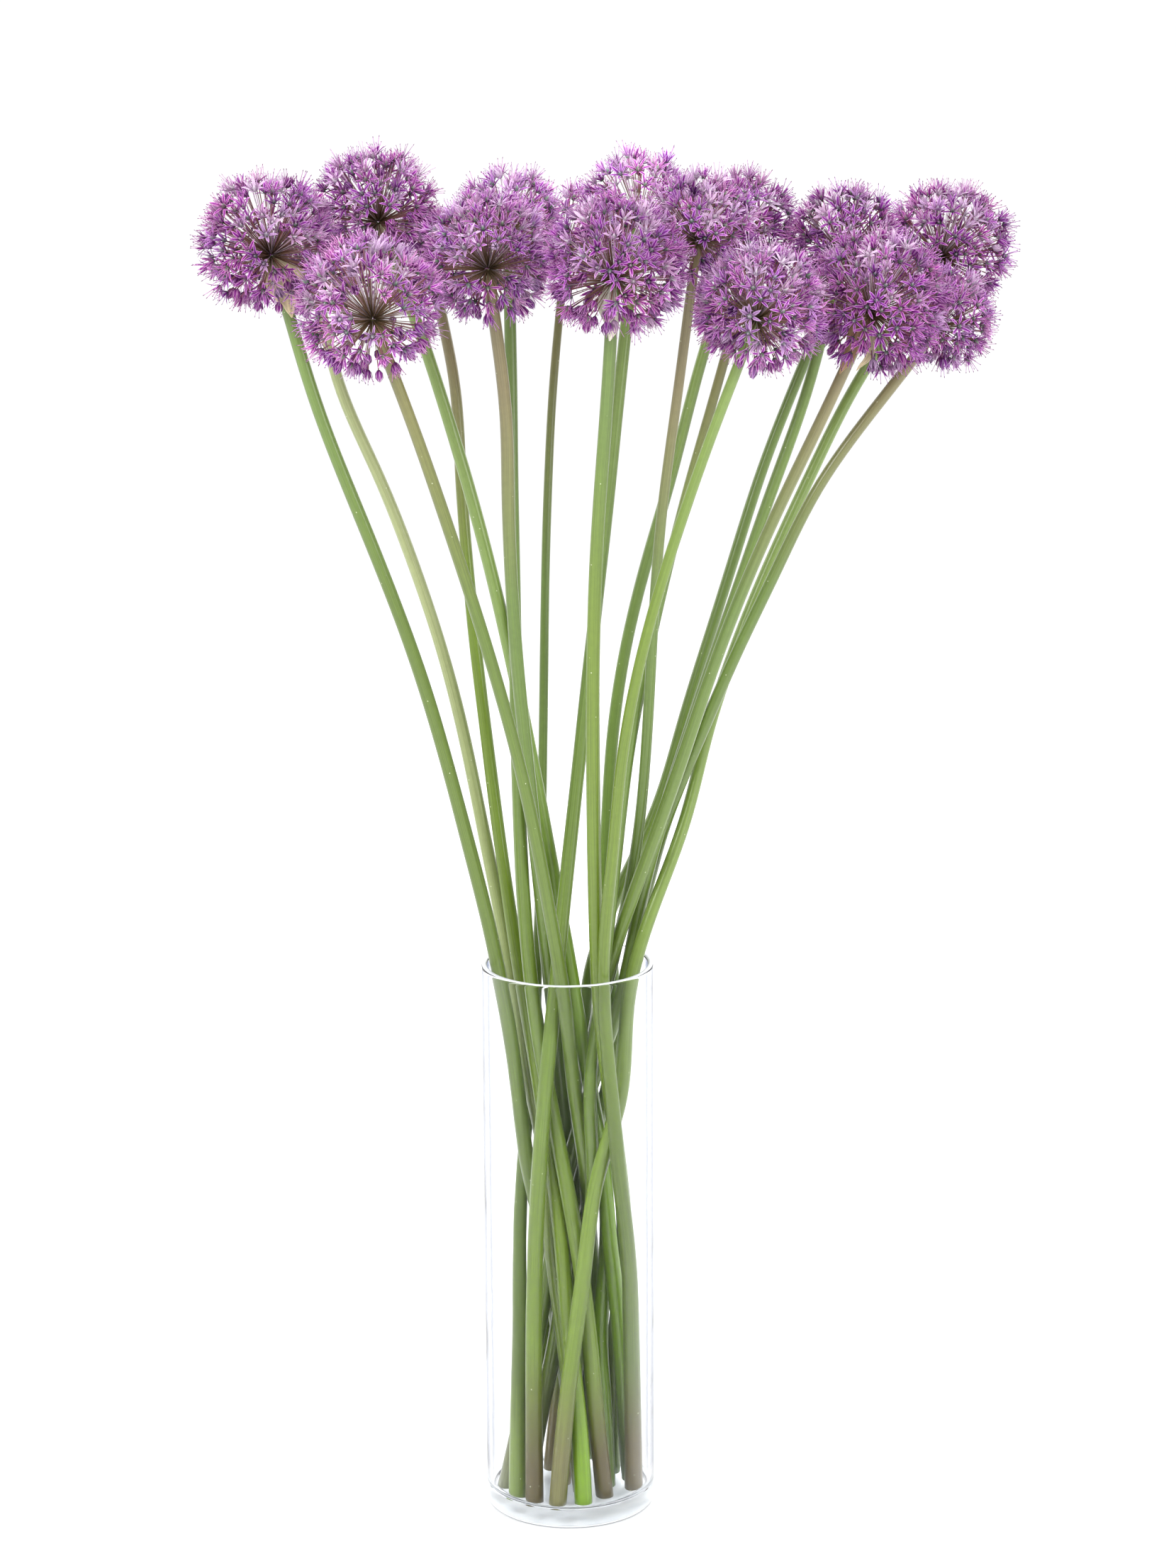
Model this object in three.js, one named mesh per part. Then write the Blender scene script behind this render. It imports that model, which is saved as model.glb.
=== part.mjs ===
import * as THREE from "three";
import { ConvexHull } from "three/addons/math/ConvexHull.js";

// Nineteen ornamental onion flowers (alliums) standing in a tall clear glass cylinder vase.
// Millimetres, +Z up. The origin is the centre of the vase's underside, and -Y is the front.

// Vase
const VASE_HEIGHT = 400;
const VASE_RADIUS = 60;
const VASE_WALL = 4;
const VASE_FLOOR = 12;
const VASE_EDGE = 1.2;
const VASE_SEGMENTS = 40;

// Stems
const FOOT_RADIUS = 6.2;
const NECK_RADIUS = 4.3;
const STEM_SIDES = 8;
const RING_SPACING = 60;
const FIT_GAP = 0.3;
const STEM_CLEARANCE = 0.6;
const EASING_ROUNDS = 900;
const FITTING_ROUNDS = 120;
const BEND_HEIGHTS = [210, 400, 560, 640, 720, 800];

// Heads
const STEM_SEAT = 20;
const FLORETS_PER_HEAD = 54;
const MOUTH_ANGLE = 33;
const TEPAL_REACH = 0.93;
const FLORET_PIT = 0.7;
const FLORET_SPREAD = 0.05;

// One row for each flower, left to right. "bend" is how far to the right of the vase's axis the
// stem is at each of BEND_HEIGHTS, and "foot" is where its cut end stands on the vase's floor.
const FLOWERS = [
  { head: [-194, -45, 906], radius: 50, foot: [6, 12], bend: [-21, -49, -83, -105, -137, -165] },
  { head: [-175, 89, 875], radius: 41, foot: [8, -20], bend: [-12, -45, -71, -92, -123, -158] },
  { head: [-125, -116, 873], radius: 52, foot: [27, 33], bend: [18, -4, -30, -51, -74, -100] },
  { head: [-127, 27, 919], radius: 47, foot: [43, 2], bend: [28, 1, -27, -42, -61, -84] },
  { head: [-92, 98, 876], radius: 40, foot: [9, -46], bend: [-2, -37, -57, -67, -72, -77] },
  { head: [-50, -50, 897], radius: 48, foot: [10, 42], bend: [4, -14, -28, -36, -38, -39] },
  { head: [-37, 41, 907], radius: 43, foot: [24, -28], bend: [0, -29, -34, -35, -36, -36] },
  { head: [2, 116, 890], radius: 41, foot: [-37, -28], bend: [-32, -20, -16, -15, -13, -7] },
  { head: [34, -115, 898], radius: 50, foot: [30, 16], bend: [32, 20, 18, 18, 21, 28] },
  { head: [52, 49, 916], radius: 45, foot: [-25, -40], bend: [-24, -7, 11, 20, 30, 38] },
  { head: [90, -34, 912], radius: 43, foot: [-9, 41], bend: [-1, 43, 57, 59, 64, 76] },
  { head: [123, 102, 898], radius: 43, foot: [26, -9], bend: [19, 24, 30, 45, 73, 93] },
  { head: [120, 23, 858], radius: 39, foot: [-6, -6], bend: [14, 28, 43, 61, 80, 104] },
  { head: [128, -106, 870], radius: 47, foot: [45, -17], bend: [41, 30, 35, 49, 73, 102] },
  { head: [192, 47, 895], radius: 43, foot: [-46, -12], bend: [-3, 39, 85, 112, 140, 168] },
  { head: [186, 112, 849], radius: 36, foot: [-32, 24], bend: [-5, 43, 84, 109, 135, 165] },
  { head: [207, -44, 866], radius: 52, foot: [-14, 22], bend: [8, 33, 84, 107, 140, 178] },
  { head: [266, 108, 883], radius: 46, foot: [-9, -47], bend: [12, 48, 95, 127, 164, 209] },
  { head: [258, 31, 844], radius: 39, foot: [-30, 4], bend: [8, 47, 94, 128, 169, 216] },
];

// Colours seen in daylight
const GLASS = new THREE.MeshStandardMaterial({ color: 0xe9eef2, roughness: 0.04, metalness: 0 });
const STALK_COLOURS = {
  green: 0x7c9656, lime: 0x8fae4e, grey: 0xa3ad8c, olive: 0x6b6f42, brown: 0x7a6a45,
};
const STALKS = [
  "green", "grey", "olive", "lime", "brown", "olive", "green", "olive", "green", "lime",
  "brown", "green", "brown", "lime", "green", "olive", "brown", "green", "brown",
];
const LILAC_COLOURS = { lilac: 0x9c58a6, violet: 0x874494 };
const LILACS = [
  "violet", "lilac", "lilac", "violet", "lilac", "lilac", "lilac", "lilac", "violet", "lilac",
  "lilac", "violet", "violet", "lilac", "violet", "violet", "violet", "violet", "lilac",
];

function seededRandom(seed) {
  let state = seed;
  return () => {
    state = (state * 1664525 + 1013904223) % 4294967296;
    return state / 4294967296;
  };
}

// A straight tube of clear glass with a thick, flat base, and edges melted round.
function makeVase() {
  const inner = VASE_RADIUS - VASE_WALL;
  const profile = [
    [0, 0],
    [VASE_RADIUS - VASE_EDGE, 0],
    [VASE_RADIUS, VASE_EDGE],
    [VASE_RADIUS, VASE_HEIGHT - VASE_EDGE],
    [VASE_RADIUS - VASE_EDGE, VASE_HEIGHT],
    [inner + VASE_EDGE, VASE_HEIGHT],
    [inner, VASE_HEIGHT - VASE_EDGE],
    [inner, VASE_FLOOR + 2 * VASE_EDGE],
    [inner - 2 * VASE_EDGE, VASE_FLOOR],
    [0, VASE_FLOOR],
  ].map(([r, z]) => new THREE.Vector2(r, z));
  const geometry = new THREE.LatheGeometry(profile, VASE_SEGMENTS);
  geometry.rotateX(Math.PI / 2);
  return geometry;
}

// A smooth course for one stem: level points from its foot up to the seat under its head.
function layOutStem(flower) {
  const [headX, headY, headZ] = flower.head;
  const footZ = VASE_FLOOR + FIT_GAP;
  const topZ = headZ - STEM_SEAT - FIT_GAP;
  const bends = BEND_HEIGHTS.filter((z) => z < headZ - 40);
  const heights = [footZ, ...bends, headZ];
  const places = [flower.foot[0], ...bends.map((z, i) => flower.bend[i]), headX];
  const curve = new THREE.CatmullRomCurve3(
    heights.map((z, i) => new THREE.Vector3(places[i], 0, z)), false, "centripetal");
  const course = curve.getPoints(200);
  const sideways = (z) => {
    const after = Math.max(1, course.findIndex((p) => p.z >= z));
    const [a, b] = [course[after - 1], course[after]];
    return THREE.MathUtils.mapLinear(z, a.z, b.z, a.x, b.x);
  };
  const count = Math.floor((topZ - 40 - footZ) / RING_SPACING);
  const points = [];
  for (let k = 0; k <= count; k += 1) {
    const z = footZ + k * RING_SPACING;
    const y = THREE.MathUtils.mapLinear(z, footZ, headZ, flower.foot[1], headY);
    points.push({ x: sideways(z), y, z, wishX: sideways(z), wishY: y });
  }
  points.push({ x: headX, y: headY, z: topZ });
  return { points, head: new THREE.Vector3(headX, headY, headZ), topZ };
}

function stemRadius(stem, z) {
  const t = (z - stem.points[0].z) / (stem.topZ - stem.points[0].z);
  return THREE.MathUtils.lerp(FOOT_RADIUS, NECK_RADIUS, Math.pow(t, 0.8));
}

// The top of a stem aims at the middle of its head.
function aimTop(stem) {
  const top = stem.points[stem.points.length - 1];
  const below = stem.points[stem.points.length - 2];
  const t = (top.z - below.z) / (stem.head.z - below.z);
  top.x = THREE.MathUtils.lerp(below.x, stem.head.x, t);
  top.y = THREE.MathUtils.lerp(below.y, stem.head.y, t);
}

// Where a stem is at height z, how wide its level cut is, and the two points that set it.
function sampleStem(stem, z) {
  if (z > stem.topZ) return null;
  const k = Math.min(stem.points.length - 2,
    Math.floor((z - stem.points[0].z) / RING_SPACING));
  const [a, b] = [stem.points[k], stem.points[k + 1]];
  const t = (z - a.z) / (b.z - a.z);
  const lean = Math.hypot(b.x - a.x, b.y - a.y) / (b.z - a.z);
  return {
    a, b, t,
    x: THREE.MathUtils.lerp(a.x, b.x, t),
    y: THREE.MathUtils.lerp(a.y, b.y, t),
    reach: stemRadius(stem, z) * Math.hypot(1, lean),
  };
}

function shift(sample, dx, dy) {
  const weight = 1 / ((1 - sample.t) ** 2 + sample.t ** 2);
  for (const [point, share] of [[sample.a, 1 - sample.t], [sample.b, sample.t]]) {
    point.x += dx * share * weight;
    point.y += dy * share * weight;
  }
}

// Stems that would cross are eased apart, mostly in depth, until each one passes beside the
// others, stays inside the vase and goes round the heads of the others.
function easeApart(stems) {
  for (let round = 0; round < EASING_ROUNDS + FITTING_ROUNDS; round += 1) {
    const settle = round < EASING_ROUNDS;
    const clearance = settle ? 2.5 * STEM_CLEARANCE : STEM_CLEARANCE;
    for (const stem of stems) {
      const { points } = stem;
      for (let k = 0; settle && k < points.length - 1; k += 1) {
        const point = points[k];
        const before = points[Math.max(0, k - 1)];
        const after = points[k + 1];
        if (k > 0 && k < points.length - 2) {
          point.x += 0.2 * ((before.x + after.x) / 2 - point.x);
          point.y += 0.8 * ((before.y + after.y) / 2 - point.y);
        }
        point.x += 0.12 * (point.wishX - point.x);
        point.y += 0.01 * (point.wishY - point.y);
      }
      aimTop(stem);
    }
    for (let z = VASE_FLOOR + FIT_GAP; z < 900; z += 10) {
      const cuts = stems.map((stem) => sampleStem(stem, z));
      for (let i = 0; i < stems.length; i += 1) {
        const one = cuts[i];
        if (!one) continue;
        for (let j = 0; j < i; j += 1) {
          const two = cuts[j];
          if (!two) continue;
          const dx = one.x - two.x;
          const dy = one.y - two.y;
          const apart = Math.hypot(dx, dy) || 0.01;
          const push = one.reach + two.reach + clearance - apart;
          if (push <= 0) continue;
          const away = Math.sign(dy) || 1;
          const turnX = 0.3 * dx / apart;
          const turnY = dy / apart + 0.2 * away;
          shift(one, 0.3 * push * turnX, 0.3 * push * turnY);
          shift(two, -0.3 * push * turnX, -0.3 * push * turnY);
        }
        for (let j = 0; j < stems.length; j += 1) {
          if (j === i) continue;
          const { head } = stems[j];
          const clear = stems[j].radius + one.reach + clearance;
          const drop = z - head.z;
          if (Math.abs(drop) >= clear) continue;
          const need = Math.sqrt(clear * clear - drop * drop);
          const apart = Math.hypot(one.x - head.x, one.y - head.y) || 0.01;
          if (apart >= need) continue;
          const push = 0.5 * (need - apart) / apart;
          shift(one, push * (one.x - head.x), push * (one.y - head.y));
        }
        const fillet = z < VASE_FLOOR + 2 * VASE_EDGE ? 2 * VASE_EDGE : 0;
        const room = VASE_RADIUS - VASE_WALL - fillet - one.reach - STEM_CLEARANCE;
        const out = Math.hypot(one.x, one.y);
        if (z <= VASE_HEIGHT + 5 && out > room) {
          shift(one, one.x * (room / out - 1), one.y * (room / out - 1));
        }
      }
    }
    stems.forEach(aimTop);
  }
}

// A round stalk with level rings, each stretched along the lean so that the stalk stays round.
function makeStem(stem) {
  const { points } = stem;
  const positions = [];
  const indices = [];
  points.forEach((point, k) => {
    const before = points[Math.max(0, k - 1)];
    const after = points[Math.min(points.length - 1, k + 1)];
    const leanX = (after.x - before.x) / (after.z - before.z);
    const leanY = (after.y - before.y) / (after.z - before.z);
    const lean = Math.hypot(leanX, leanY) || 1e-9;
    const stretch = Math.hypot(1, lean) - 1;
    const radius = stemRadius(stem, point.z);
    for (let side = 0; side < STEM_SIDES; side += 1) {
      const angle = (side / STEM_SIDES) * 2 * Math.PI;
      const x = radius * Math.cos(angle);
      const y = radius * Math.sin(angle);
      const along = stretch * (x * leanX + y * leanY) / lean;
      positions.push(point.x + x + along * leanX / lean,
        point.y + y + along * leanY / lean, point.z);
    }
  });
  const last = (points.length - 1) * STEM_SIDES;
  for (let side = 0; side < STEM_SIDES; side += 1) {
    const next = (side + 1) % STEM_SIDES;
    for (let start = 0; start < last; start += STEM_SIDES) {
      const [a, b] = [start + side, start + next];
      indices.push(a, b, b + STEM_SIDES, a, b + STEM_SIDES, a + STEM_SIDES);
    }
    if (side > 0 && next > 0) {
      indices.push(0, next, side, last, last + side, last + next);
    }
  }
  const geometry = new THREE.BufferGeometry();
  geometry.setAttribute("position", new THREE.Float32BufferAttribute(positions, 3));
  geometry.setIndex(indices);
  geometry.computeVertexNormals();
  return geometry;
}

// A globe of starry florets. Each floret is a raised star whose tepals reach out to those of its
// neighbours, with a pit between every three. Below, the florets leave a mouth round the stem,
// which ends against a small level seat inside it.
function makeHead(stem, seed) {
  const random = seededRandom(seed);
  const { points, head, radius } = stem;
  const top = points[points.length - 1];
  const axis = new THREE.Vector3(top.x, top.y, top.z).sub(head).normalize();
  const turn = new THREE.Quaternion().setFromUnitVectors(new THREE.Vector3(0, 0, -1), axis);
  const mouth = Math.cos(THREE.MathUtils.degToRad(MOUTH_ANGLE));
  const twist = random() * 2 * Math.PI;
  const florets = [axis.clone()];
  const sizes = [0];
  for (let i = 0; i < FLORETS_PER_HEAD; i += 1) {
    const down = 1 - (2 * i + 1) / FLORETS_PER_HEAD;
    if (down > mouth) continue;
    const ring = Math.sqrt(1 - down * down);
    const angle = twist + i * Math.PI * (3 - Math.sqrt(5)) + 0.25 * (random() - 0.5);
    const tilt = new THREE.Vector3(ring * Math.cos(angle), ring * Math.sin(angle), -down);
    florets.push(tilt.applyQuaternion(turn).normalize());
    sizes.push(radius * (1 - FLORET_SPREAD * random()));
  }
  const number = new Map(florets.map((floret, i) => [floret, i]));
  const positions = [];
  const named = new Map();
  const vertex = (corners) => {
    const key = corners.map((c) => number.get(c)).sort((a, b) => a - b).join(" ");
    if (named.has(key)) return named.get(key);
    const way = corners.reduce((sum, c) => sum.add(c), new THREE.Vector3()).normalize();
    let reach = corners.reduce((sum, c) => sum + sizes[number.get(c)], 0) / corners.length;
    reach *= [1, TEPAL_REACH, FLORET_PIT][corners.length - 1];
    if (corners.includes(florets[0])) reach = STEM_SEAT / -way.z;
    positions.push(head.x + reach * way.x, head.y + reach * way.y, head.z + reach * way.z);
    named.set(key, positions.length / 3 - 1);
    return named.get(key);
  };
  const indices = [];
  for (const face of new ConvexHull().setFromPoints(florets).faces) {
    const corners = [];
    let edge = face.edge;
    do {
      corners.push(edge.head().point);
      edge = edge.next;
    } while (edge !== face.edge);
    const pit = vertex(corners);
    corners.forEach((corner, i) => {
      const next = corners[(i + 1) % 3];
      const middle = vertex([corner, next]);
      indices.push(vertex([corner]), middle, pit, middle, vertex([next]), pit);
    });
  }
  const geometry = new THREE.BufferGeometry();
  geometry.setAttribute("position", new THREE.Float32BufferAttribute(positions, 3));
  geometry.setIndex(indices);
  geometry.computeVertexNormals();
  return geometry;
}

const group = new THREE.Group();
const vase = new THREE.Mesh(makeVase(), GLASS);
vase.name = "vase";
group.add(vase);

const stems = FLOWERS.map((flower) => ({ ...layOutStem(flower), radius: flower.radius }));
easeApart(stems);
stems.forEach((stem, i) => {
  const label = String(i + 1).padStart(2, "0");
  const green = STALK_COLOURS[STALKS[i]];
  const lilac = LILAC_COLOURS[LILACS[i]];
  const stalk = new THREE.Mesh(makeStem(stem),
    new THREE.MeshStandardMaterial({ color: green, roughness: 0.55, metalness: 0 }));
  stalk.name = `stem_${label}`;
  const bloom = new THREE.Mesh(makeHead(stem, 101 + i),
    new THREE.MeshStandardMaterial({ color: lilac, roughness: 0.7, metalness: 0 }));
  bloom.name = `head_${label}`;
  group.add(stalk, bloom);
});

export default group;
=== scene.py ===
import math

import bmesh
import bpy
import numpy as np
from mathutils import Matrix, Vector


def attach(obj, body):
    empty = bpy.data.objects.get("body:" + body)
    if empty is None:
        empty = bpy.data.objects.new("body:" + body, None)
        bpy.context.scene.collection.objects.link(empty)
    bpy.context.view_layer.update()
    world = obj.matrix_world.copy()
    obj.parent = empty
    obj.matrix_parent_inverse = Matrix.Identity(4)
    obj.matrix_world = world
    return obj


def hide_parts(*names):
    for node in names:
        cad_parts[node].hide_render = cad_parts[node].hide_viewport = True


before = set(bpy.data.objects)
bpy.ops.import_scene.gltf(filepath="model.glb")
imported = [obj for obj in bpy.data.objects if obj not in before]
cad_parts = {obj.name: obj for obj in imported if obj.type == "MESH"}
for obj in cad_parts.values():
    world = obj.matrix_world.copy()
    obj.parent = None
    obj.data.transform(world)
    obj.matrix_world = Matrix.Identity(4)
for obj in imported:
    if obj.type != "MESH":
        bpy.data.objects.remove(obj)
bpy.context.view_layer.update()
print("frame loaded:", len(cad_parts), "nodes")

# Small helpers


def linear(rgb):
    return [c / 12.92 if c <= 0.04045 else ((c + 0.055) / 1.055) ** 2.4 for c in rgb]


def blendColours(a, b, t):
    return [x + (y - x) * t for x, y in zip(a, b)]


def around(random, spread):
    return random.uniform(-spread, spread)


def newObject(name, mesh):
    thing = bpy.data.objects.new(name, mesh)
    bpy.context.scene.collection.objects.link(thing)
    return thing


def buildMesh(name, verts, faces, paint=None):
    mesh = bpy.data.meshes.new(name)
    mesh.from_pydata([tuple(v) for v in verts], [], [tuple(f) for f in faces])
    if paint is not None:
        layer = mesh.attributes.new("paint", "FLOAT_COLOR", "POINT")
        layer.data.foreach_set("color", np.array([[*c, 1.0] for c in paint]).ravel())
    mesh.shade_smooth()
    return mesh


def faceOutward(mesh):
    shell = bmesh.new()
    shell.from_mesh(mesh)
    bmesh.ops.recalc_face_normals(shell, faces=shell.faces)
    shell.to_mesh(mesh)
    shell.free()


def setInputs(node, **inputs):
    for name, value in inputs.items():
        node.inputs[name.replace("_", " ")].default_value = value
    return node


def addNode(tree, kind, place=(0, 0), **inputs):
    node = tree.nodes.new(kind)
    node.location = place
    return setInputs(node, **inputs)


def colourMix(tree, place, a=None, b=None, kind="MIX"):
    mix = addNode(tree, "ShaderNodeMix", place)
    mix.data_type = "RGBA"
    mix.blend_type = kind
    for name, colour in (("A", a), ("B", b)):
        if colour is not None:
            mix.inputs[name].default_value = (*colour, 1.0)
    return mix


def setRange(node, source, target=(0.0, 1.0)):
    node.inputs["From Min"].default_value, node.inputs["From Max"].default_value = source
    node.inputs["To Min"].default_value, node.inputs["To Max"].default_value = target


def multiplyNode(tree, a, b, place):
    mix = colourMix(tree, place, kind="MULTIPLY")
    mix.inputs["Factor"].default_value = 1.0
    tree.links.new(a, mix.inputs["A"])
    tree.links.new(b, mix.inputs["B"])
    return mix.outputs["Result"]


def attributeNode(tree, name, place):
    node = addNode(tree, "ShaderNodeAttribute", place)
    node.attribute_name = name
    return node


def mixWith(tree, shader, other, share=0.5):
    blend = addNode(tree, "ShaderNodeMixShader", (300, 100), Fac=share)
    tree.links.new(shader.outputs["BSDF"], blend.inputs[1])
    tree.links.new(other.outputs["BSDF"], blend.inputs[2])
    tree.links.new(blend.outputs["Shader"], tree.nodes["Material Output"].inputs["Surface"])
    return blend


def letLightThrough(tree, shader, colour, share):
    # petals and dry sheaths also show the light behind them
    glow = addNode(tree, "ShaderNodeBsdfTranslucent", (0, -250))
    tree.links.new(colour, glow.inputs["Color"])
    mixWith(tree, shader, glow, share)


def newMaterial(name):
    material = bpy.data.materials.new(name)
    material.use_nodes = True
    tree = material.node_tree
    shader = tree.nodes["Principled BSDF"]
    return material, tree, shader


# Camera, floor and light

view = {
    "place": (0.015, -2.830, 1.228),
    "pitch": 13.9,        # degrees below level
    "roll": -0.29,        # degrees
    "lens": 97.0,         # mm on a 36 mm tall frame
}
cameraData = bpy.data.cameras.new("camera")
cameraData.lens = view["lens"]
cameraData.sensor_width = 36.0
cameraData.sensor_fit = "AUTO"
cameraData.clip_end = 200.0
camera = bpy.data.objects.new("camera", cameraData)
camera.matrix_world = (
    Matrix.Translation(view["place"])
    @ Matrix.Rotation(math.radians(90 - view["pitch"]), 4, "X")
    @ Matrix.Rotation(math.radians(view["roll"]), 4, "Z")
)
bpy.context.scene.collection.objects.link(camera)
bpy.context.scene.camera = camera

studio = {
    "sky": 1.55,
    "mirroredBehind": 1.5,    # the sky that gloss mirrors from behind the flowers
    "mirroredInFront": 0.6,   # and from the camera's side, so that the glass stays clear
    "mirrorTurns": (-0.35, 0.55),    # where along Y the one goes over into the other
    "floorShade": 0.66,
    "floorReach": 60.0,
    "lamps": {                # place, what it points at, width and power
        "keyLamp": ((-1.5, -1.9, 2.3), (0, 0, 0.7), 1.6, 60.0),
        "fillLamp": ((1.9, -1.6, 1.5), (0, 0, 0.7), 1.8, 30.0),
        "backLamp": ((0.4, 2.2, 2.2), (0, 0, 0.8), 1.8, 48.0),
    },
}


def makeSky(look):
    world = bpy.data.worlds.new("studioSky")
    world.use_nodes = True
    tree = world.node_tree
    light = tree.nodes["Background"]
    light.inputs["Color"].default_value = (1.0, 1.0, 1.0, 1.0)
    way = addNode(tree, "ShaderNodeTexCoord", (-900, 0))
    split = addNode(tree, "ShaderNodeSeparateXYZ", (-700, 0))
    mirrored = addNode(tree, "ShaderNodeMapRange", (-500, 0))
    mirrored.interpolation_type = "SMOOTHSTEP"
    setRange(mirrored, look["mirrorTurns"], (look["mirroredInFront"], look["mirroredBehind"]))
    path = addNode(tree, "ShaderNodeLightPath", (-500, 300))
    choose = addNode(tree, "ShaderNodeMix", (-250, 100))
    choose.inputs["A"].default_value = look["sky"]
    link = tree.links.new
    link(way.outputs["Generated"], split.inputs["Vector"])
    link(split.outputs["Y"], mirrored.inputs["Value"])
    link(path.outputs["Is Glossy Ray"], choose.inputs["Factor"])
    link(mirrored.outputs["Result"], choose.inputs["B"])
    link(choose.outputs["Result"], light.inputs["Strength"])
    bpy.context.scene.world = world


makeSky(studio)
bpy.context.scene.view_settings.view_transform = "Standard"


def addLamp(name, place, aim, size, power):
    data = bpy.data.lights.new(name, "AREA")
    data.shape = "DISK"
    data.size = size
    data.energy = power
    lamp = bpy.data.objects.new(name, data)
    lamp.location = place
    lamp.rotation_euler = (Vector(aim) - Vector(place)).to_track_quat("-Z", "Y").to_euler()
    bpy.context.scene.collection.objects.link(lamp)


def layFloor(look):
    material, _, shader = newMaterial("paleFloor")
    grey = (*[look["floorShade"]] * 3, 1.0)
    setInputs(shader, Base_Color=grey, Roughness=0.9, Specular_IOR_Level=0.1)
    reach = look["floorReach"]
    corners = [(-reach, -reach, 0), (reach, -reach, 0), (reach, reach, 0), (-reach, reach, 0)]
    mesh = buildMesh("floor", corners, [(0, 1, 2, 3)])
    mesh.materials.append(material)
    return newObject("floor", mesh)


for lampName, lamp in studio["lamps"].items():
    addLamp(lampName, *lamp)
floor = layFloor(studio)
print("camera, light and floor ready")

# What the frame says about each flower

flowerCount = 19
seatDepth = 0.0203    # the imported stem's top is this far below the middle of its head
sameLevel = 0.0002    # points this near in height belong to one ring of a packed stem


def nodePoints(name):
    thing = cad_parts[name]
    points = np.empty(len(thing.data.vertices) * 3)
    thing.data.vertices.foreach_get("co", points)
    points = points.reshape(-1, 3)
    return np.unique(np.round(points, 6), axis=0)


def readStem(number):
    points = nodePoints(f"stem_{number:02d}")
    levels = []
    for z in np.unique(np.round(points[:, 2], 4)):
        ring = points[np.abs(points[:, 2] - z) < sameLevel]
        middle = ring.mean(axis=0)
        girth = np.linalg.norm(ring[:, :2] - middle[:2], axis=1).min()
        levels.append([*middle, girth])
    levels = np.array(levels)
    top, below = levels[-1, :3], levels[-2, :3]
    heart = top + (top - below) / (top[2] - below[2]) * seatDepth
    globe = np.linalg.norm(nodePoints(f"head_{number:02d}") - heart, axis=1).max()
    return {"levels": levels, "heart": heart, "globe": globe}


flowers = [readStem(number) for number in range(1, flowerCount + 1)]
print("courses read:", [round(f["globe"] * 1000) for f in flowers])


def splineThrough(knots, values):
    # a natural cubic spline: returns a function of the knot value
    n = len(knots)
    h = np.diff(knots)
    system = np.eye(n)
    right = np.zeros((n, values.shape[1]))
    for i in range(1, n - 1):
        system[i, i - 1: i + 2] = h[i - 1], 2 * (h[i - 1] + h[i]), h[i]
        right[i] = 6 * ((values[i + 1] - values[i]) / h[i] - (values[i] - values[i - 1]) / h[i - 1])
    curve = np.linalg.solve(system, right)

    def at(z):
        k = int(np.clip(np.searchsorted(knots, z) - 1, 0, n - 2))
        a, b = knots[k + 1] - z, z - knots[k]
        return (
            curve[k] * a**3 / (6 * h[k]) + curve[k + 1] * b**3 / (6 * h[k])
            + (values[k] / h[k] - curve[k] * h[k] / 6) * a
            + (values[k + 1] / h[k] - curve[k + 1] * h[k] / 6) * b
        )

    return at


# Vase

vaseLook = {
    "radius": 0.060,
    "height": 0.400,
    "wall": 0.004,
    "base": 0.012,
    "rimEdge": 0.0018,       # how round the rim's two edges are
    "heel": 0.0045,
    "innerCorner": 0.007,
    "underside": [(0.0, 0.0014), (0.5, 0.0012), (0.78, 0.0005), (0.86, 0.0)],   # share out, height
    "wallRings": [0.14, 0.28],
    "besideBend": 0.001,     # a ring this near to each bend keeps the flat parts' shading even
    "sides": 144,
    "ior": 1.47,
    "tint": (0.985, 0.990, 0.995),
    "edgeTint": (0.10, 0.13, 0.22),     # where the wall is seen along its length
    "edgeRange": (0.60, 0.84),          # how far to the side the wall has to face for that
    "edgeFade": 0.02,        # the edge tint comes in over this height above the base
    "mirror": (0.13, 0.135, 0.15),
    "haze": 0.025,           # the roughness of the dullest smudges
    "lampLight": (0.97, 0.98, 0.985),   # what the wall lets through of the lamps
    "ground": ((0.74, 0.79, 0.86), (0.97, 0.98, 1.0)),
    "groundRoughness": 0.25,
    "rimHighlightClearness": 0.45,
    "undersideClearness": 0.10,
    "rimHighlightDepth": 0.0009,      # how far down the rim's top is frosted pale, a painted highlight
    "undersideTop": 0.0015,  # and how far up the ground underside goes
}


def quarterTurn(centre, radius, start, steps):
    angles = [math.radians(start + 90 * k / steps) for k in range(steps + 1)]
    return [(centre[0] + radius * math.cos(a), centre[1] + radius * math.sin(a)) for a in angles]


def vaseProfile(look):
    # up the outside, over the rim and down the inside, as distance from the axis and height
    r, top, wall, base = look["radius"], look["height"], look["wall"], look["base"]
    heel, edge, corner = look["heel"], look["rimEdge"], look["innerCorner"]
    (low, high), near, inner = look["wallRings"], look["besideBend"], r - wall
    line = [(r * share, z) for share, z in look["underside"]]
    line += quarterTurn((r - heel, heel), heel, -90, 7)
    line += [(r, z) for z in (heel + near, 0.02, low, high, top - edge - near)]
    line += quarterTurn((r - edge, top - edge), edge, 0, 5)
    line += quarterTurn((inner + edge, top - edge), edge, 90, 5)
    line += [(inner, z) for z in (top - edge - near, high, low, 0.03, base + corner + near)]
    line += list(reversed(quarterTurn((inner - corner, base + corner), corner, -90, 6)))
    line += [(r * 0.45, base - 0.0003), (0.0, base - 0.0005)]      # the floor dips a little
    return line


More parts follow.
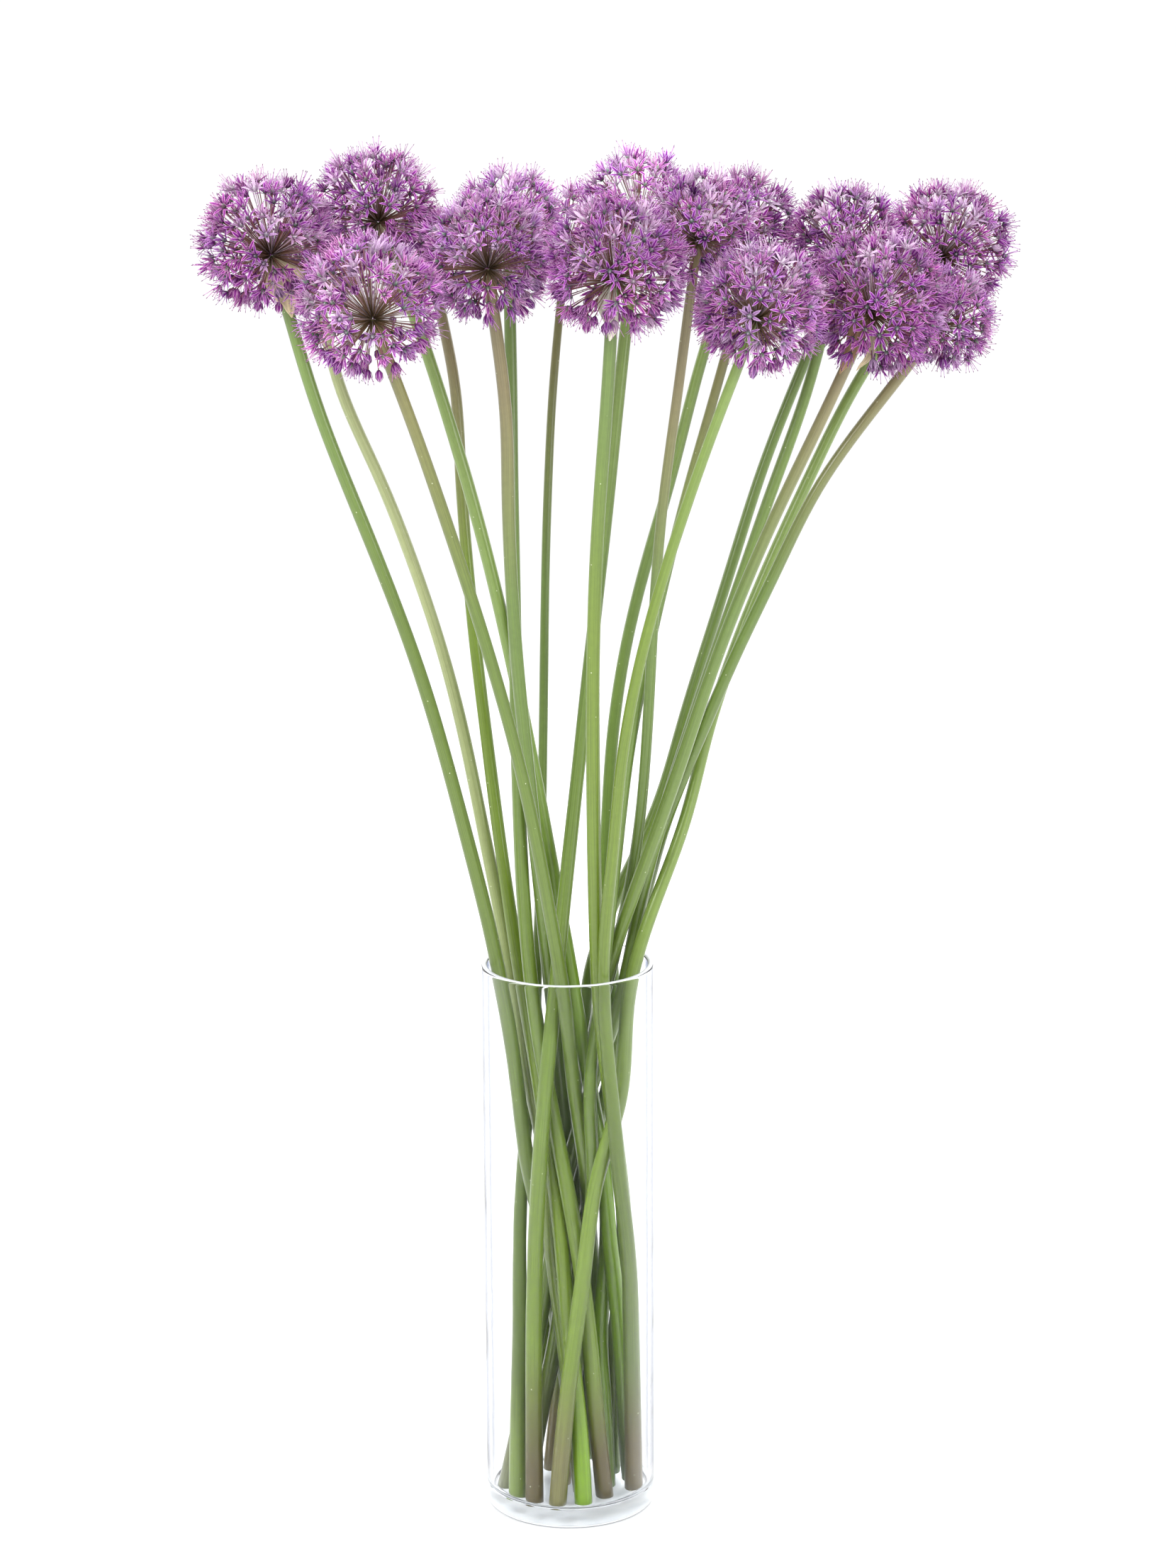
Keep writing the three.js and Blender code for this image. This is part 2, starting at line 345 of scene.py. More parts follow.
def latheMesh(name, profile, sides):
    verts, faces = [], []
    rings = []
    for r, z in profile:
        if r == 0:
            rings.append([len(verts)])
            verts.append((0, 0, z))
            continue
        rings.append(list(range(len(verts), len(verts) + sides)))
        for side in range(sides):
            a = side / sides * 2 * math.pi
            verts.append((r * math.cos(a), r * math.sin(a), z))
    for low, high in zip(rings, rings[1:]):
        for side in range(sides):
            after = (side + 1) % sides
            if len(low) == 1:
                faces.append((low[0], high[after], high[side]))
            elif len(high) == 1:
                faces.append((low[side], low[after], high[0]))
            else:
                faces.append((low[side], low[after], high[after], high[side]))
    mesh = buildMesh(name, verts, faces)
    faceOutward(mesh)
    return mesh


def clearGlass(look):
    material, tree, shader = newMaterial("clearGlass")
    mirror = (*look["mirror"], 1.0)
    setInputs(shader, IOR=look["ior"], Transmission_Weight=1.0, Specular_Tint=mirror)
    along = addNode(tree, "ShaderNodeLayerWeight", (-900, 250), Blend=0.5)
    grazing = addNode(tree, "ShaderNodeMapRange", (-700, 250))
    setRange(grazing, look["edgeRange"])
    tint = colourMix(tree, (-400, 250), look["tint"], look["edgeTint"])
    place = addNode(tree, "ShaderNodeTexCoord", (-1100, -200))
    split = addNode(tree, "ShaderNodeSeparateXYZ", (-900, 50))
    aboveBase = addNode(tree, "ShaderNodeMapRange", (-700, 50))
    setRange(aboveBase, (look["base"], look["base"] + look["edgeFade"]))
    atEdge = addNode(tree, "ShaderNodeMath", (-550, 250))
    atEdge.operation = "MULTIPLY"
    link = tree.links.new
    link(along.outputs["Facing"], grazing.inputs["Value"])
    link(place.outputs["Object"], split.inputs["Vector"])
    link(split.outputs["Z"], aboveBase.inputs["Value"])
    link(grazing.outputs["Result"], atEdge.inputs[0])
    link(aboveBase.outputs["Result"], atEdge.inputs[1])
    link(atEdge.outputs["Value"], tint.inputs["Factor"])
    link(tint.outputs["Result"], shader.inputs["Base Color"])
    wave = addNode(tree, "ShaderNodeTexNoise", (-800, -350), Scale=26.0, Detail=1.0)
    bump = addNode(tree, "ShaderNodeBump", (-400, -350), Strength=0.12, Distance=0.002)
    smudge = addNode(tree, "ShaderNodeTexNoise", (-800, -50), Scale=48.0, Detail=5.0)
    haze = addNode(tree, "ShaderNodeMapRange", (-600, -50))
    setRange(haze, (0.55, 0.80), (0.0, look["haze"]))
    link(place.outputs["Object"], wave.inputs["Vector"])
    link(place.outputs["Object"], smudge.inputs["Vector"])
    link(wave.outputs["Fac"], bump.inputs["Height"])
    link(smudge.outputs["Fac"], haze.inputs["Value"])
    link(bump.outputs["Normal"], shader.inputs["Normal"])
    link(haze.outputs["Result"], shader.inputs["Roughness"])
    path = addNode(tree, "ShaderNodeLightPath", (-200, 400))
    clear = addNode(tree, "ShaderNodeBsdfTransparent", (0, 250), Color=(*look["lampLight"], 1.0))
    link(path.outputs["Is Shadow Ray"], mixWith(tree, shader, clear).inputs["Fac"])
    return material


def groundGlass(name, look, clearness):
    material, tree, shader = newMaterial(name)
    setInputs(shader, IOR=look["ior"], Transmission_Weight=clearness)
    setInputs(shader, Roughness=look["groundRoughness"])
    place = addNode(tree, "ShaderNodeTexCoord", (-800, 0))
    cloud = addNode(tree, "ShaderNodeTexNoise", (-600, 0), Scale=90.0, Detail=4.0)
    tint = colourMix(tree, (-300, 0), *look["ground"])
    link = tree.links.new
    link(place.outputs["Object"], cloud.inputs["Vector"])
    link(cloud.outputs["Fac"], tint.inputs["Factor"])
    link(tint.outputs["Result"], shader.inputs["Base Color"])
    return material


vaseMesh = latheMesh("vaseGlass", vaseProfile(vaseLook), vaseLook["sides"])
vaseMesh.materials.append(clearGlass(vaseLook))
# the rim's top gets a pale frosted glass: a painted highlight along the rim
vaseMesh.materials.append(groundGlass("polishedRim", vaseLook, vaseLook["rimHighlightClearness"]))
vaseMesh.materials.append(groundGlass("groundUnderside", vaseLook, vaseLook["undersideClearness"]))
for face in vaseMesh.polygons:
    if face.center.z > vaseLook["height"] - vaseLook["rimHighlightDepth"]:
        face.material_index = 1
    elif face.center.z < vaseLook["undersideTop"]:
        face.material_index = 2
vase = newObject("vaseGlass", vaseMesh)
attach(vase, "root")
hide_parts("vase")
print("vase ready")

# Stems

# The colours of stems in daylight. Each stem has four of them: foot, lower, upper and neck.
greens = {
    "mid": (0.38, 0.47, 0.21),
    "leaf": (0.40, 0.49, 0.13),
    "deep": (0.33, 0.41, 0.13),
    "vivid": (0.42, 0.56, 0.04),
    "lime": (0.45, 0.54, 0.26),
    "pale": (0.58, 0.61, 0.42),
    "olive": (0.43, 0.42, 0.24),
    "khaki": (0.50, 0.46, 0.32),
    "bark": (0.33, 0.29, 0.15),
    "grey": (0.35, 0.38, 0.18),
    "buff": (0.58, 0.53, 0.38),
}
stemLook = {
    "sides": 20,
    "ringStep": 0.008,
    "coreDrop": 0.16,        # how far below its head's middle a stem ends, as a share of the radius
    "footBevel": (0.0005, 0.0006),      # in and up
    "leanStep": 0.002,       # the course's lean is taken over this height either way
    "unevenness": 0.02,      # of the girth along the stem, in two waves
    "waves": (38, 17),
    "slimFrom": 0.5,         # the height from which the shares in slim hold in full
    "usualSlim": 0.96,
    "knobHeight": 0.010,     # the swollen tip that carries the florets
    "knobSwell": 0.25,
    "knobTaper": 0.55,
    "capInset": 0.8,         # the inner ring of each end, as a share of the outer
    # painted light and shade: one side of each stem lighter, the opposite side darker
    "paintedLitSide": 0.10,
    "cut": (0.78, 0.80, 0.62),
    "endShade": 0.9,         # of the middle of each end
    "grainScale": 1.6,
    "footUpTo": (0.015, 0.04),          # how far up the foot's colour goes, at least and at most
    "lowerFrom": (0.06, 0.12),
    "upperFrom": 0.66,       # heights where the upper and the neck colours are reached
    "neckFrom": 0.81,
    "fleck": (0.52, 0.56, 0.36),
    "shades": [
        ("grey", "deep", "deep", "mid"), ("grey", "leaf", "pale", "pale"),
        ("olive", "deep", "deep", "olive"), ("mid", "vivid", "lime", "lime"),
        ("vivid", "leaf", "leaf", "khaki"), ("mid", "deep", "mid", "khaki"),
        ("bark", "leaf", "mid", "mid"), ("leaf", "deep", "mid", "olive"),
        ("mid", "leaf", "leaf", "mid"), ("bark", "leaf", "mid", "lime"),
        ("bark", "deep", "mid", "khaki"), ("mid", "vivid", "mid", "lime"),
        ("buff", "deep", "mid", "olive"), ("bark", "deep", "leaf", "lime"),
        ("grey", "deep", "mid", "mid"), ("grey", "leaf", "mid", "mid"),
        ("buff", "leaf", "mid", "khaki"), ("olive", "leaf", "lime", "lime"),
        ("grey", "deep", "mid", "khaki"),
    ],
    "slim": {2: 0.90, 3: 0.90, 5: 0.90, 8: 0.66, 11: 0.76, 12: 0.88, 13: 0.76, 14: 0.80, 15: 0.88,
             16: 0.86, 17: 0.90, 18: 0.90, 19: 0.88},
    "slots": [
        "green", "grey", "olive", "lime", "brown", "olive", "green", "olive", "green", "lime",
        "brown", "green", "brown", "lime", "green", "olive", "brown", "green", "brown",
    ],
}


def stalkSkin(look):
    material, tree, shader = newMaterial("freshStalk")
    setInputs(shader, Roughness=0.3, Specular_IOR_Level=0.5, Coat_Weight=0.5, Coat_Roughness=0.16)
    setInputs(shader, Sheen_Weight=0.6, Sheen_Roughness=0.10)      # the pale line along each edge
    paint = attributeNode(tree, "paint", (-900, 200))
    grain = attributeNode(tree, "grain", (-900, -100))
    place = addNode(tree, "ShaderNodeTexCoord", (-900, -350))
    streaks = addNode(tree, "ShaderNodeTexNoise", (-700, -100), Scale=7.0, Detail=5.0)
    setInputs(streaks, Roughness=0.62)
    speckle = addNode(tree, "ShaderNodeTexNoise", (-700, -350), Scale=260.0, Detail=2.0)
    flecks = addNode(tree, "ShaderNodeTexVoronoi", (-700, -600), Scale=120.0)
    streakRamp = addNode(tree, "ShaderNodeMapRange", (-500, -100))
    speckleRamp = addNode(tree, "ShaderNodeMapRange", (-500, -350))
    fleckRamp = addNode(tree, "ShaderNodeMapRange", (-500, -600))
    setRange(streakRamp, (0.0, 1.0), (0.35, 1.65))
    setRange(speckleRamp, (0.0, 1.0), (0.9, 1.1))
    setRange(fleckRamp, (0.055, 0.03))
    both = addNode(tree, "ShaderNodeMath", (-300, -200))
    both.operation = "MULTIPLY"
    fleckMix = colourMix(tree, (100, 250), b=look["fleck"])
    bump = addNode(tree, "ShaderNodeBump", (-100, -300), Strength=0.25, Distance=0.0004)
    link = tree.links.new
    link(grain.outputs["Vector"], streaks.inputs["Vector"])
    link(place.outputs["Object"], speckle.inputs["Vector"])
    link(place.outputs["Object"], flecks.inputs["Vector"])
    link(streaks.outputs["Fac"], streakRamp.inputs["Value"])
    link(speckle.outputs["Fac"], speckleRamp.inputs["Value"])
    link(flecks.outputs["Distance"], fleckRamp.inputs["Value"])
    link(streakRamp.outputs["Result"], both.inputs[0])
    link(speckleRamp.outputs["Result"], both.inputs[1])
    link(fleckRamp.outputs["Result"], fleckMix.inputs["Factor"])
    link(multiplyNode(tree, paint.outputs["Color"], both.outputs["Value"], (-100, 100)),
         fleckMix.inputs["A"])
    link(fleckMix.outputs["Result"], shader.inputs["Base Color"])
    link(streaks.outputs["Fac"], bump.inputs["Height"])
    link(bump.outputs["Normal"], shader.inputs["Normal"])
    return material


def stemMesh(number, flower, look):
    random = np.random.default_rng(300 + number)
    levels, heart = flower["levels"], flower["heart"]
    flower["downStem"] = (levels[-1, :3] - heart) / np.linalg.norm(levels[-1, :3] - heart)
    core = heart + flower["downStem"] * look["coreDrop"] * flower["globe"]
    knots = np.append(levels[:, 2], core[2])
    course = splineThrough(knots, np.vstack([levels[:, :2], core[:2]]))

    def girth(z):
        return float(np.interp(z, levels[:, 2], levels[:, 3]))

    low, high = knots[0], knots[-1]
    steps = int((high - low) / look["ringStep"])
    heights = list(low + (high - low) * np.arange(steps + 1) / steps)
    bevelIn, bevelUp = look["footBevel"]
    heights.insert(1, low + bevelUp)
    tones = [linear(greens[name]) for name in look["shades"][number - 1]]
    stops = [low + random.uniform(*look["footUpTo"]), low + random.uniform(*look["lowerFrom"]),
             look["upperFrom"], look["neckFrom"]]
    wobble = random.uniform(0, 6.28, 4)
    sides, fine, step = look["sides"], look["grainScale"], look["leanStep"]
    quick, slow = look["waves"]
    slim = look["slim"].get(number, look["usualSlim"])
    verts, faces, paint, grain = [], [], [], []
    for k, z in enumerate(heights):
        middle = course(z)
        over, under = min(high, z + step), max(low, z - step)
        lean = (course(over) - course(under)) / (over - under)
        slope = np.linalg.norm(lean) + 1e-9
        stretch = math.hypot(1, slope) - 1
        uneven = math.sin(z * quick + wobble[0]) * math.sin(z * slow + wobble[1])
        radius = girth(z) * (1 + look["unevenness"] * uneven)
        radius *= 1 + (slim - 1) * min(1.0, z / look["slimFrom"])
        if k == 0:
            radius -= bevelIn
        knob = max(0.0, 1 - (high - z) / look["knobHeight"])
        radius *= 1 + look["knobSwell"] * math.sin(knob * math.pi) - look["knobTaper"] * knob**3
        tone = tones[-1]
        for i in range(3):
            if z <= stops[i + 1]:
                t = max(0.0, (z - stops[i]) / (stops[i + 1] - stops[i]))
                tone = blendColours(tones[i], tones[i + 1], t)
                break
        for side in range(sides):
            a = side / sides * 2 * math.pi
            x, y = radius * math.cos(a), radius * math.sin(a)
            along = stretch * (x * lean[0] + y * lean[1]) / slope
            verts.append((middle[0] + x + along * lean[0] / slope,
                          middle[1] + y + along * lean[1] / slope, z))
            # painted light and shade, lighter on one side of the stem and darker on the other
            paintedSideLight = 1 + look["paintedLitSide"] * math.cos(a - wobble[2])
            paint.append([c * paintedSideLight for c in tone])
            grain.append((fine * math.cos(a), fine * math.sin(a), z * fine + number))
    for k in range(len(heights) - 1):
        for side in range(sides):
            after = (side + 1) % sides
            a, b = k * sides + side, k * sides + after
            faces.append((a, b, b + sides, a + sides))
    ends = ((0, linear(look["cut"]), low), (len(verts) - sides, tones[-1], high))
    for start, colour, z in ends:
        centre = np.mean([verts[start + s] for s in range(sides)], axis=0)
        inner = len(verts)
        for side in range(sides):
            edge = np.array(verts[start + side])
            verts.append(tuple(centre + (edge - centre) * look["capInset"]))
            paint.append(colour)
            grain.append((0, 0, z * fine + number))
        verts.append(tuple(centre))
        paint.append([c * look["endShade"] for c in colour])
        grain.append((0, 0, z * fine + number))
        for side in range(sides):
            after = (side + 1) % sides
            faces.append((start + side, start + after, inner + after, inner + side))
            faces.append((inner + side, inner + after, inner + sides))
    mesh = buildMesh(f"stalk{number:02d}", verts, faces, paint)
    layer = mesh.attributes.new("grain", "FLOAT_VECTOR", "POINT")
    layer.data.foreach_set("vector", np.array(grain).ravel())
    faceOutward(mesh)
    mesh.materials.append(stalkMaterial)
    return mesh, core


stalkMaterial = stalkSkin(stemLook)
for number, flower in enumerate(flowers, 1):
    mesh, flower["core"] = stemMesh(number, flower, stemLook)
    stalk = newObject(f"stalk{number:02d}", mesh)
    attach(stalk, "root")
    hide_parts(f"stem_{number:02d}")
print("stems ready")

# The parts a head is made of: tepals, stamens, ovary and stalk, each for one floret
floretLook = {
    "tepals": 6,
    "length": 0.0090,
    "width": 0.0021,
    "thickness": 0.00020,
    "keel": 0.00026,
    "stamenLength": 0.0114,
    "stamenRings": ((0.0, 0.00034, "filament"), (0.86, 0.00017, "filament"),
                    (0.94, 0.00033, "anther")),
    # pale margins: partly the tepals' own colour, partly painted highlight of the light behind them
    "edge": (0.93, 0.80, 0.94),
    "flesh": (0.60, 0.18, 0.65),
    "rib": (0.43, 0.06, 0.49),
    "throat": (0.67, 0.45, 0.66),
    # the near-white of the painted highlight on some florets
    "paintedHighlight": (0.93, 0.86, 0.93),
    "ovary": (0.37, 0.47, 0.37),
    "filament": (0.88, 0.68, 0.89),
    "anther": (0.50, 0.34, 0.50),
    "stalkRoot": (0.52, 0.47, 0.32),
    "stalkTip": (0.55, 0.35, 0.42),
    "mottle": (0.78, 1.22),
    "roughness": 0.5,
    "shine": 0.12,
    "seeThrough": 0.28,
    # along a tepal, at its root and two steps: width, keel and how much of the rib's colour
    "tepalRings": ((0.46, 0.4, 0.3), (1.0, 1.0, 0.9), (0.80, 0.8, 1.0)),
    "tepalSteps": (0.36, 0.34, 0.30),
    "tepalRoot": 0.0009,      # from the floret's axis
    "everyOther": 7,          # degrees by which three of the tepals stand up more
    "turnAbout": 0.16,        # how unevenly open tepals stand: share of a step round, then degrees
    "liftAbout": 9,
    "bendAbout": 12,
    "tepalLengths": (0.90, 1.06),
    "tepalWidths": (0.88, 1.12),
    "stamenLean": 22,
    "leanAbout": (-12, 14),
    "stamenRoot": (0.0008, 0.0004),     # from the axis, and up
    "stamenLengths": (0.82, 1.10),
    # shade, radius and height
    "ovaryRings": ((0.8, 0.0013, -0.0003), (1.05, 0.0017, 0.0010), (1.3, 0.0009, 0.0023)),
    "styleTop": 0.0052,
    # height, radius and how much of the tip's colour
    "stalkRings": ((-1.0, 0.00042, 0.0), (-0.45, 0.00033, 0.35), (0.0, 0.00052, 1.0)),
    "budWidth": 1.3,          # of a bud's tepals, beside the open ones
    "budShade": 0.84,
    "budBelly": (0.0019, 0.0003),       # from the axis, and how much further every other tepal is
    "budHeights": (0.0019, 0.0049, 0.0080),
}


class Sculpt:
    def __init__(self):
        self.verts, self.faces, self.paint, self.creases = [], [], [], []

    def add(self, point, colour):
        self.verts.append(tuple(point))
        # the cube root of the colour, which the skins undo: between two colours the darker prevails
        self.paint.append([c ** (1 / 3) for c in linear([min(1.0, c) for c in colour])])
        return len(self.verts) - 1

    def bridge(self, low, high):
        count = len(low)
        for k in range(count):
            self.faces.append((low[k], low[(k + 1) % count], high[(k + 1) % count], high[k]))

    def fan(self, ring, point):
        self.faces += [(ring[k], ring[(k + 1) % len(ring)], point) for k in range(len(ring))]

    def ring(self, radius, z, colour, sides):
        return [
            self.add((radius * math.cos(k * 2 * math.pi / sides),
                      radius * math.sin(k * 2 * math.pi / sides), z), colour)
            for k in range(sides)
        ]

    def mesh(self, name):
        mesh = buildMesh(name, self.verts, self.faces, self.paint)
        faceOutward(mesh)
        sharp = set(frozenset(pair) for pair in self.creases)
        for edge in mesh.edges:
            edge.use_edge_sharp = frozenset(edge.vertices) in sharp
        return mesh


def addTepal(sculpt, look, turn, course, width, shade=1.0):
    # course: distance from the axis and height, at the root, two steps and the tip
    c, s = math.cos(turn), math.sin(turn)
    rings = []
    for k, (span, keel, ribShare) in enumerate(look["tepalRings"]):
        r, z = course[k]
        dr, dz = course[k + 1][0] - r, course[k + 1][1] - z
        size = math.hypot(dr, dz)
        up = (-dz / size, dr / size)
        half = width * span / 2
        dip = look["keel"] * keel
        # the pale margin colour is partly the tepal's own and partly painted backlight highlight
        edge = [x * shade for x in (look["throat"] if k == 0 else look["edge"])]
        rib = [x * shade for x in blendColours(look["throat"], look["rib"], ribShare)]
        back = [x * shade for x in blendColours(look["flesh"], look["rib"], 0.6)]
        ring = []
        for y, fall, colour in ((half, 0.0, edge), (0.0, dip - look["thickness"], rib),
                                (-half, 0.0, edge), (0.0, dip + look["thickness"], back)):
            out, high = r - up[0] * fall, z - up[1] * fall
            ring.append(sculpt.add((out * c - y * s, out * s + y * c, high), colour))
        rings.append(ring)
    r, z = course[3]
    tip = sculpt.add((r * c, r * s, z), [x * shade for x in look["edge"]])
    for low, high in zip(rings, rings[1:]):
        sculpt.bridge(low, high)
        sculpt.creases += [(low[0], high[0]), (low[2], high[2])]
    sculpt.fan(rings[-1], tip)
    sculpt.creases += [(rings[-1][0], tip), (rings[-1][2], tip)]
    sculpt.faces.append(tuple(rings[0]))


def tepalCourse(look, lift, bend, length):
    # leaves the axis at lift degrees and opens by bend degrees on the way to its tip
    points = [(look["tepalRoot"], 0.0)]
    for k, share in enumerate(look["tepalSteps"]):
        a = math.radians(lift + bend * k / 2)
        r, z = points[-1]
        points.append((r + length * share * math.sin(a), z + length * share * math.cos(a)))
    return points


def openTepals(look, name, lift, bend, seed):
    random = np.random.default_rng(seed)
    sculpt = Sculpt()
    for k in range(look["tepals"]):
        turn = (k + around(random, look["turnAbout"])) * 2 * math.pi / look["tepals"]
        raised = lift - look["everyOther"] * (k % 2) + around(random, look["liftAbout"])
        course = tepalCourse(look, raised, bend + around(random, look["bendAbout"]),
                             look["length"] * random.uniform(*look["tepalLengths"]))
        addTepal(sculpt, look, turn, course, look["width"] * random.uniform(*look["tepalWidths"]))
    return sculpt.mesh(name)


def closedTepals(look, name, mouth, seed):
    random = np.random.default_rng(seed)
    sculpt = Sculpt()
    for k in range(look["tepals"]):
        turn = (k + around(random, 0.08)) * 2 * math.pi / look["tepals"]
        low, middle, top = look["budHeights"]
        half, more = look["budBelly"]
        belly = half + more * (k % 2)
        course = [(0.0006, 0.0), (belly, low), (belly + more + mouth * 0.5, middle),
                  (0.0007 + mouth, top * random.uniform(0.94, 1.05))]
        addTepal(sculpt, look, turn, course, look["width"] * look["budWidth"], look["budShade"])
    return sculpt.mesh(name)


def stamenBrush(look, name, seed):
    random = np.random.default_rng(seed)
    sculpt = Sculpt()
    for k in range(look["tepals"]):
        a = (k + 0.5 + around(random, 0.2)) * 2 * math.pi / look["tepals"]
        out = math.radians(look["stamenLean"] + random.uniform(*look["leanAbout"]))
        way = Vector((math.sin(out) * math.cos(a), math.sin(out) * math.sin(a), math.cos(out)))
        side = way.orthogonal().normalized()
        other = way.cross(side)
        beside, above = look["stamenRoot"]
        root = Vector((beside * math.cos(a), beside * math.sin(a), above))
        far = look["stamenLength"] * random.uniform(*look["stamenLengths"])
        rings = []
        for along, radius, part in look["stamenRings"]:
            rings.append([
                sculpt.add(root + way * far * along
                           + (side * math.cos(t) + other * math.sin(t)) * radius, look[part])
                for t in (0.0, 2.0944, 4.1888)        # three sides
            ])
        sculpt.bridge(rings[0], rings[1])
        sculpt.bridge(rings[1], rings[2])
        sculpt.fan(rings[2], sculpt.add(root + way * far, look["anther"]))
        sculpt.faces.append(tuple(reversed(rings[0])))
    return sculpt.mesh(name)


def ovaryKnob(look, name):
    sculpt = Sculpt()
    rings = [sculpt.ring(r, z, [c * shade for c in look["ovary"]], 6)
             for shade, r, z in look["ovaryRings"]]
    sculpt.bridge(rings[0], rings[1])
    sculpt.bridge(rings[1], rings[2])
    sculpt.fan(rings[2], sculpt.add((0, 0, look["styleTop"]), look["filament"]))
    sculpt.faces.append(tuple(reversed(rings[0])))
    return sculpt.mesh(name)


def floretStalk(look, name):
    # one unit long, from its root at -Z to its floret at the origin
    sculpt = Sculpt()
    rings = [
        sculpt.ring(r, z, blendColours(look["stalkRoot"], look["stalkTip"], t), 5)
        for z, r, t in look["stalkRings"]
    ]
    sculpt.bridge(rings[0], rings[1])
    sculpt.bridge(rings[1], rings[2])
    sculpt.faces += [tuple(reversed(rings[0])), tuple(rings[2])]
    return sculpt.mesh(name)


def cubed(tree, paint):
    colour = paint.outputs["Color"]
    return multiplyNode(tree, multiplyNode(tree, colour, colour, (-900, 200)), colour, (-700, 200))


def floretSkin(look):
    material, tree, shader = newMaterial("floretSkin")
    setInputs(shader, Roughness=look["roughness"], Specular_IOR_Level=look["shine"])
    paint = attributeNode(tree, "paint", (-1100, 200))
    tone = attributeNode(tree, "tone", (-1100, -50))     # its alpha says how much painted highlight whitens the floret
    place = addNode(tree, "ShaderNodeTexCoord", (-1100, -300))
    mottle = addNode(tree, "ShaderNodeTexNoise", (-900, -300), Scale=700.0, Detail=3.0)
    strength = addNode(tree, "ShaderNodeMapRange", (-700, -300))
    setRange(strength, (0.0, 1.0), look["mottle"])
    link = tree.links.new
    link(place.outputs["Object"], mottle.inputs["Vector"])
    link(mottle.outputs["Fac"], strength.inputs["Value"])
    toned = multiplyNode(tree, cubed(tree, paint), tone.outputs["Color"], (-500, 100))
    mottled = multiplyNode(tree, toned, strength.outputs["Result"], (-300, 100))
    # painted highlight: the tone's alpha whitens the floret
    highlightMix = colourMix(tree, (-150, 200), b=linear(look["paintedHighlight"]))
    link(tone.outputs["Alpha"], highlightMix.inputs["Factor"])
    link(mottled, highlightMix.inputs["A"])
    final = highlightMix.outputs["Result"]
    link(final, shader.inputs["Base Color"])
    letLightThrough(tree, shader, final, look["seeThrough"])
    return material


bloomMaterial = floretSkin(floretLook)


def addSocket(tree, name, kind, where="INPUT"):
    return tree.interface.new_socket(name, in_out=where, socket_type=kind).identifier


